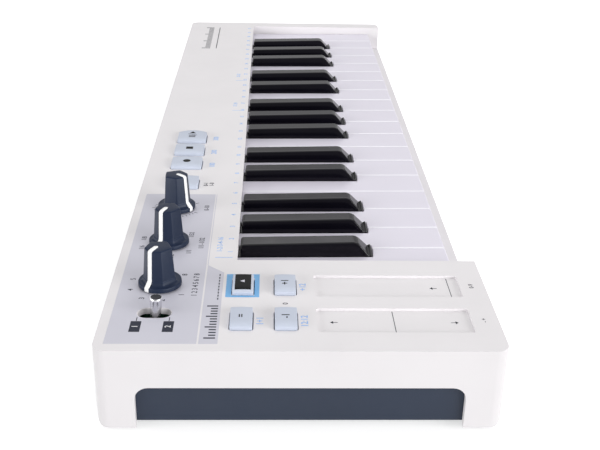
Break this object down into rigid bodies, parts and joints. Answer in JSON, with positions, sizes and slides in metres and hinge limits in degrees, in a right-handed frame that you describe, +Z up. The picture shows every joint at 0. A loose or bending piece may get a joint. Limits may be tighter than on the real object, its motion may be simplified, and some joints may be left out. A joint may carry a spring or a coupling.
{
  "type": "synthesizer",
  "caption": "Slim table-top keyboard synthesizer with piano keys, touch strips, push buttons, knobs and a toggle in a white case with a slate tray.",
  "frame": {"origin": "middle of the footprint, at the feet's resting plane", "axes": "+X along the keyboard to the player's right, +Y to the rear, +Z up"},
  "size_m": [0.485, 0.148, 0.0519],
  "materials": {
    "shell": "fine satin moulded white",
    "tray": "satin slate blue",
    "foot_rubber": "matte",
    "chassis": "matte",
    "circuit_board": "solder mask",
    "contact_rubber": "matte",
    "socket": "satin",
    "white_key": "semi-gloss",
    "black_key": "gloss",
    "button_cap": "satin translucent grey-blue",
    "knob": "satin navy",
    "chrome": "polished"
  },
  "bodies": {
    "case": {"top_case": "shell", "bottom_tray": "tray", "foot_front_left": "foot_rubber", "foot_front_right": "foot_rubber", "foot_rear_left": "foot_rubber", "foot_rear_right": "foot_rubber", "keybed_frame": "chassis", "key_contact_board": "circuit_board", "rubber_contact_strip": "contact_rubber", "control_board": "circuit_board", "pitch_touch_sensor": "circuit_board", "mod_touch_sensor": "circuit_board", "connector_board": "circuit_board", "sustain_jack": "socket", "midi_in_socket": "socket", "midi_out_socket": "socket"},
    "white_key_01": {"white_key_01": "white_key"},
    "white_key_02": {"white_key_02": "white_key"},
    "white_key_03": {"white_key_03": "white_key"},
    "white_key_04": {"white_key_04": "white_key"},
    "white_key_05": {"white_key_05": "white_key"},
    "white_key_06": {"white_key_06": "white_key"},
    "white_key_07": {"white_key_07": "white_key"},
    "white_key_08": {"white_key_08": "white_key"},
    "white_key_09": {"white_key_09": "white_key"},
    "white_key_10": {"white_key_10": "white_key"},
    "white_key_11": {"white_key_11": "white_key"},
    "white_key_12": {"white_key_12": "white_key"},
    "white_key_13": {"white_key_13": "white_key"},
    "white_key_14": {"white_key_14": "white_key"},
    "white_key_15": {"white_key_15": "white_key"},
    "white_key_16": {"white_key_16": "white_key"},
    "white_key_17": {"white_key_17": "white_key"},
    "white_key_18": {"white_key_18": "white_key"},
    "white_key_19": {"white_key_19": "white_key"},
    "black_key_01": {"black_key_01": "black_key"},
    "black_key_02": {"black_key_02": "black_key"},
    "black_key_03": {"black_key_03": "black_key"},
    "black_key_04": {"black_key_04": "black_key"},
    "black_key_05": {"black_key_05": "black_key"},
    "black_key_06": {"black_key_06": "black_key"},
    "black_key_07": {"black_key_07": "black_key"},
    "black_key_08": {"black_key_08": "black_key"},
    "black_key_09": {"black_key_09": "black_key"},
    "black_key_10": {"black_key_10": "black_key"},
    "black_key_11": {"black_key_11": "black_key"},
    "black_key_12": {"black_key_12": "black_key"},
    "black_key_13": {"black_key_13": "black_key"},
    "shift_button": {"shift_button": "button_cap"},
    "hold_button": {"hold_button": "button_cap"},
    "octave_up_button": {"octave_up_button": "button_cap"},
    "octave_down_button": {"octave_down_button": "button_cap"},
    "tie_button": {"tie_button": "button_cap"},
    "record_button": {"record_button": "button_cap"},
    "stop_button": {"stop_button": "button_cap"},
    "play_button": {"play_button": "button_cap"},
    "mode_knob": {"mode_knob": "knob"},
    "division_knob": {"division_knob": "knob"},
    "rate_knob": {"rate_knob": "knob"},
    "toggle_lever": {"toggle_lever": "chrome"}
  },
  "joints": [
    {"name": "white_key_01_hinge", "type": "hinge", "parent": "case", "child": "white_key_01", "pos_m": [-0.16143, 0.038, 0.024], "axis": [1, 0, 0], "range_deg": [0, 4.5], "stiffness_Nm_per_rad": 0.64, "springref_deg": -2.69},
    {"name": "white_key_02_hinge", "type": "hinge", "parent": "case", "child": "white_key_02", "pos_m": [-0.14028, 0.038, 0.024], "axis": [1, 0, 0], "range_deg": [0, 4.5], "stiffness_Nm_per_rad": 0.64, "springref_deg": -2.69},
    {"name": "white_key_03_hinge", "type": "hinge", "parent": "case", "child": "white_key_03", "pos_m": [-0.11912, 0.038, 0.024], "axis": [1, 0, 0], "range_deg": [0, 4.5], "stiffness_Nm_per_rad": 0.64, "springref_deg": -2.69},
    {"name": "white_key_04_hinge", "type": "hinge", "parent": "case", "child": "white_key_04", "pos_m": [-0.09798, 0.038, 0.024], "axis": [1, 0, 0], "range_deg": [0, 4.5], "stiffness_Nm_per_rad": 0.64, "springref_deg": -2.69},
    {"name": "white_key_05_hinge", "type": "hinge", "parent": "case", "child": "white_key_05", "pos_m": [-0.07683, 0.038, 0.024], "axis": [1, 0, 0], "range_deg": [0, 4.5], "stiffness_Nm_per_rad": 0.64, "springref_deg": -2.69},
    {"name": "white_key_06_hinge", "type": "hinge", "parent": "case", "child": "white_key_06", "pos_m": [-0.05568, 0.038, 0.024], "axis": [1, 0, 0], "range_deg": [0, 4.5], "stiffness_Nm_per_rad": 0.64, "springref_deg": -2.69},
    {"name": "white_key_07_hinge", "type": "hinge", "parent": "case", "child": "white_key_07", "pos_m": [-0.03453, 0.038, 0.024], "axis": [1, 0, 0], "range_deg": [0, 4.5], "stiffness_Nm_per_rad": 0.64, "springref_deg": -2.69},
    {"name": "white_key_08_hinge", "type": "hinge", "parent": "case", "child": "white_key_08", "pos_m": [-0.01337, 0.038, 0.024], "axis": [1, 0, 0], "range_deg": [0, 4.5], "stiffness_Nm_per_rad": 0.64, "springref_deg": -2.69},
    {"name": "white_key_09_hinge", "type": "hinge", "parent": "case", "child": "white_key_09", "pos_m": [0.00777, 0.038, 0.024], "axis": [1, 0, 0], "range_deg": [0, 4.5], "stiffness_Nm_per_rad": 0.64, "springref_deg": -2.69},
    {"name": "white_key_10_hinge", "type": "hinge", "parent": "case", "child": "white_key_10", "pos_m": [0.02892, 0.038, 0.024], "axis": [1, 0, 0], "range_deg": [0, 4.5], "stiffness_Nm_per_rad": 0.64, "springref_deg": -2.69},
    {"name": "white_key_11_hinge", "type": "hinge", "parent": "case", "child": "white_key_11", "pos_m": [0.05008, 0.038, 0.024], "axis": [1, 0, 0], "range_deg": [0, 4.5], "stiffness_Nm_per_rad": 0.64, "springref_deg": -2.69},
    {"name": "white_key_12_hinge", "type": "hinge", "parent": "case", "child": "white_key_12", "pos_m": [0.07122, 0.038, 0.024], "axis": [1, 0, 0], "range_deg": [0, 4.5], "stiffness_Nm_per_rad": 0.64, "springref_deg": -2.69},
    {"name": "white_key_13_hinge", "type": "hinge", "parent": "case", "child": "white_key_13", "pos_m": [0.09237, 0.038, 0.024], "axis": [1, 0, 0], "range_deg": [0, 4.5], "stiffness_Nm_per_rad": 0.64, "springref_deg": -2.69},
    {"name": "white_key_14_hinge", "type": "hinge", "parent": "case", "child": "white_key_14", "pos_m": [0.11353, 0.038, 0.024], "axis": [1, 0, 0], "range_deg": [0, 4.5], "stiffness_Nm_per_rad": 0.64, "springref_deg": -2.69},
    {"name": "white_key_15_hinge", "type": "hinge", "parent": "case", "child": "white_key_15", "pos_m": [0.13467, 0.038, 0.024], "axis": [1, 0, 0], "range_deg": [0, 4.5], "stiffness_Nm_per_rad": 0.64, "springref_deg": -2.69},
    {"name": "white_key_16_hinge", "type": "hinge", "parent": "case", "child": "white_key_16", "pos_m": [0.15582, 0.038, 0.024], "axis": [1, 0, 0], "range_deg": [0, 4.5], "stiffness_Nm_per_rad": 0.64, "springref_deg": -2.69},
    {"name": "white_key_17_hinge", "type": "hinge", "parent": "case", "child": "white_key_17", "pos_m": [0.17697, 0.038, 0.024], "axis": [1, 0, 0], "range_deg": [0, 4.5], "stiffness_Nm_per_rad": 0.64, "springref_deg": -2.69},
    {"name": "white_key_18_hinge", "type": "hinge", "parent": "case", "child": "white_key_18", "pos_m": [0.19812, 0.038, 0.024], "axis": [1, 0, 0], "range_deg": [0, 4.5], "stiffness_Nm_per_rad": 0.64, "springref_deg": -2.69},
    {"name": "white_key_19_hinge", "type": "hinge", "parent": "case", "child": "white_key_19", "pos_m": [0.21927, 0.038, 0.024], "axis": [1, 0, 0], "range_deg": [0, 4.5], "stiffness_Nm_per_rad": 0.64, "springref_deg": -2.69},
    {"name": "black_key_01_hinge", "type": "hinge", "parent": "case", "child": "black_key_01", "pos_m": [-0.15345, 0.038, 0.024], "axis": [1, 0, 0], "range_deg": [0, 4.5], "stiffness_Nm_per_rad": 0.64, "springref_deg": -2.69},
    {"name": "black_key_02_hinge", "type": "hinge", "parent": "case", "child": "black_key_02", "pos_m": [-0.1297, 0.038, 0.024], "axis": [1, 0, 0], "range_deg": [0, 4.5], "stiffness_Nm_per_rad": 0.64, "springref_deg": -2.69},
    {"name": "black_key_03_hinge", "type": "hinge", "parent": "case", "child": "black_key_03", "pos_m": [-0.10595, 0.038, 0.024], "axis": [1, 0, 0], "range_deg": [0, 4.5], "stiffness_Nm_per_rad": 0.64, "springref_deg": -2.69},
    {"name": "black_key_04_hinge", "type": "hinge", "parent": "case", "child": "black_key_04", "pos_m": [-0.06845, 0.038, 0.024], "axis": [1, 0, 0], "range_deg": [0, 4.5], "stiffness_Nm_per_rad": 0.64, "springref_deg": -2.69},
    {"name": "black_key_05_hinge", "type": "hinge", "parent": "case", "child": "black_key_05", "pos_m": [-0.0425, 0.038, 0.024], "axis": [1, 0, 0], "range_deg": [0, 4.5], "stiffness_Nm_per_rad": 0.64, "springref_deg": -2.69},
    {"name": "black_key_06_hinge", "type": "hinge", "parent": "case", "child": "black_key_06", "pos_m": [-0.0054, 0.038, 0.024], "axis": [1, 0, 0], "range_deg": [0, 4.5], "stiffness_Nm_per_rad": 0.64, "springref_deg": -2.69},
    {"name": "black_key_07_hinge", "type": "hinge", "parent": "case", "child": "black_key_07", "pos_m": [0.01835, 0.038, 0.024], "axis": [1, 0, 0], "range_deg": [0, 4.5], "stiffness_Nm_per_rad": 0.64, "springref_deg": -2.69},
    {"name": "black_key_08_hinge", "type": "hinge", "parent": "case", "child": "black_key_08", "pos_m": [0.0421, 0.038, 0.024], "axis": [1, 0, 0], "range_deg": [0, 4.5], "stiffness_Nm_per_rad": 0.64, "springref_deg": -2.69},
    {"name": "black_key_09_hinge", "type": "hinge", "parent": "case", "child": "black_key_09", "pos_m": [0.0796, 0.038, 0.024], "axis": [1, 0, 0], "range_deg": [0, 4.5], "stiffness_Nm_per_rad": 0.64, "springref_deg": -2.69},
    {"name": "black_key_10_hinge", "type": "hinge", "parent": "case", "child": "black_key_10", "pos_m": [0.10555, 0.038, 0.024], "axis": [1, 0, 0], "range_deg": [0, 4.5], "stiffness_Nm_per_rad": 0.64, "springref_deg": -2.69},
    {"name": "black_key_11_hinge", "type": "hinge", "parent": "case", "child": "black_key_11", "pos_m": [0.14265, 0.038, 0.024], "axis": [1, 0, 0], "range_deg": [0, 4.5], "stiffness_Nm_per_rad": 0.64, "springref_deg": -2.69},
    {"name": "black_key_12_hinge", "type": "hinge", "parent": "case", "child": "black_key_12", "pos_m": [0.1664, 0.038, 0.024], "axis": [1, 0, 0], "range_deg": [0, 4.5], "stiffness_Nm_per_rad": 0.64, "springref_deg": -2.69},
    {"name": "black_key_13_hinge", "type": "hinge", "parent": "case", "child": "black_key_13", "pos_m": [0.19015, 0.038, 0.024], "axis": [1, 0, 0], "range_deg": [0, 4.5], "stiffness_Nm_per_rad": 0.64, "springref_deg": -2.69},
    {"name": "shift_button_press", "type": "slide", "parent": "case", "child": "shift_button", "axis": [0, 0, -1], "range_m": [0, 0.001], "stiffness_N_per_m": 1000, "springref_m": -0.0005},
    {"name": "hold_button_press", "type": "slide", "parent": "case", "child": "hold_button", "axis": [0, 0, -1], "range_m": [0, 0.001], "stiffness_N_per_m": 1000, "springref_m": -0.0005},
    {"name": "octave_up_button_press", "type": "slide", "parent": "case", "child": "octave_up_button", "axis": [0, 0, -1], "range_m": [0, 0.001], "stiffness_N_per_m": 1000, "springref_m": -0.0005},
    {"name": "octave_down_button_press", "type": "slide", "parent": "case", "child": "octave_down_button", "axis": [0, 0, -1], "range_m": [0, 0.001], "stiffness_N_per_m": 1000, "springref_m": -0.0005},
    {"name": "tie_button_press", "type": "slide", "parent": "case", "child": "tie_button", "axis": [0, 0, -1], "range_m": [0, 0.001], "stiffness_N_per_m": 1000, "springref_m": -0.0005},
    {"name": "record_button_press", "type": "slide", "parent": "case", "child": "record_button", "axis": [0, 0, -1], "range_m": [0, 0.001], "stiffness_N_per_m": 1000, "springref_m": -0.0005},
    {"name": "stop_button_press", "type": "slide", "parent": "case", "child": "stop_button", "axis": [0, 0, -1], "range_m": [0, 0.001], "stiffness_N_per_m": 1000, "springref_m": -0.0005},
    {"name": "play_button_press", "type": "slide", "parent": "case", "child": "play_button", "axis": [0, 0, -1], "range_m": [0, 0.001], "stiffness_N_per_m": 1000, "springref_m": -0.0005},
    {"name": "mode_knob_turn", "type": "hinge", "parent": "case", "child": "mode_knob", "pos_m": [-0.1943, 0.0545, 0.042], "axis": [0, 0, 1], "range_deg": [-208, 92]},
    {"name": "division_knob_turn", "type": "hinge", "parent": "case", "child": "division_knob", "pos_m": [-0.1575, 0.0545, 0.042], "axis": [0, 0, 1], "range_deg": [-213, 87]},
    {"name": "rate_knob_turn", "type": "hinge", "parent": "case", "child": "rate_knob", "pos_m": [-0.1207, 0.0545, 0.042], "axis": [0, 0, 1], "range_deg": [-296, 4]},
    {"name": "toggle_lever_tilt", "type": "hinge", "parent": "case", "child": "toggle_lever", "pos_m": [-0.2163, 0.0544, 0.0275], "axis": [1, 0, 0], "range_deg": [-12, 0]}
  ]
}
